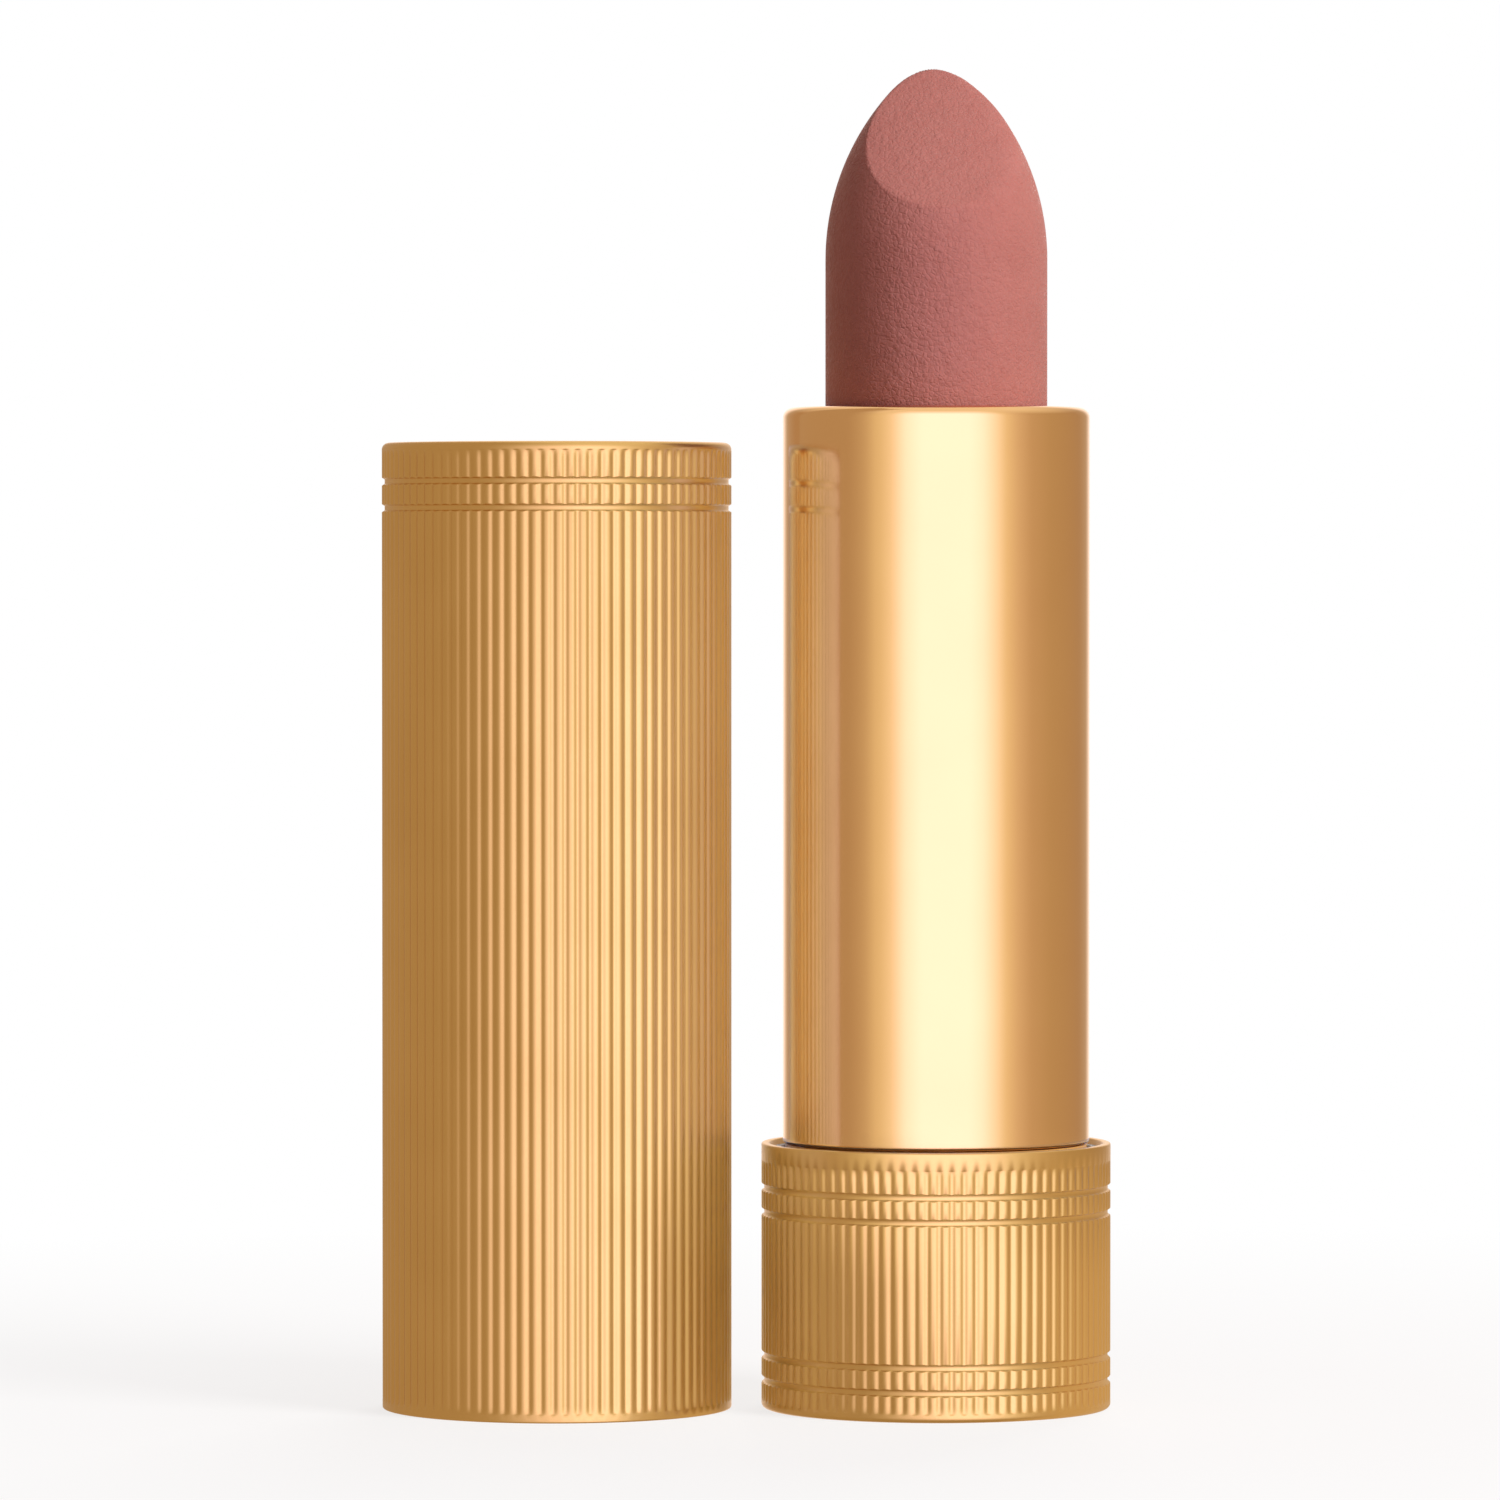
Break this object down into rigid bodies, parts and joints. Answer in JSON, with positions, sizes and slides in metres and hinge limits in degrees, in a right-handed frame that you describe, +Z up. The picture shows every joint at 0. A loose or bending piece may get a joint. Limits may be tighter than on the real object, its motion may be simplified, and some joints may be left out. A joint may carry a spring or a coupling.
{
  "type": "lipstick case",
  "caption": "Swivel lipstick case with fluted cap and base; turning the smooth inner sleeve raises or lowers a slant-cut lipstick in its cup, and the cap lifts off.",
  "frame": {"origin": "on the case's axis, at the underside of its base", "axes": "+Z up the case to the lipstick's tip, -Y towards the side that the lipstick's slanted facet faces, -X towards the cap that stands beside it"},
  "size_m": [0.0413, 0.0198, 0.076],
  "materials": {
    "satin_gold": "gold anodised, fluted",
    "polished_gold": "gold anodised, polished",
    "plated_steel": "zinc plated",
    "grey_plastic": "satin",
    "natural_plastic": "satin",
    "white_plastic": "satin",
    "amber_plastic": "satin",
    "silicone": "matte",
    "label_paper": "matte",
    "rose_lipstick": "matte wax"
  },
  "bodies": {
    "base": {"base_shell": "satin_gold", "base_label": "label_paper", "base_weight": "plated_steel", "base_liner": "grey_plastic", "guide_tube": "white_plastic", "brake_ring": "silicone"},
    "sleeve": {"outer_sleeve": "polished_gold", "cam_sleeve": "amber_plastic"},
    "carrier": {"carrier_cup": "white_plastic", "lipstick_bullet": "rose_lipstick"},
    "cap": {"cap_shell": "satin_gold", "cap_liner": "natural_plastic", "cap_weight": "plated_steel"}
  },
  "joints": [
    {"name": "sleeve_turn", "type": "hinge", "parent": "base", "child": "sleeve", "pos_m": [0, 0, 0], "axis": [0, 0, 1], "range_deg": [-360, 0]},
    {"name": "carrier_slide", "type": "slide", "parent": "base", "child": "carrier", "axis": [0, 0, 1], "range_m": [-0.021, 0]},
    {"name": "cap_lift", "type": "slide", "parent": "base", "child": "cap", "axis": [0, 0, 1], "range_m": [0, 0.06]}
  ],
  "couplings": [
    {"joint": "carrier_slide", "follows": "sleeve_turn", "m_per_rad": 0.0033423}
  ]
}
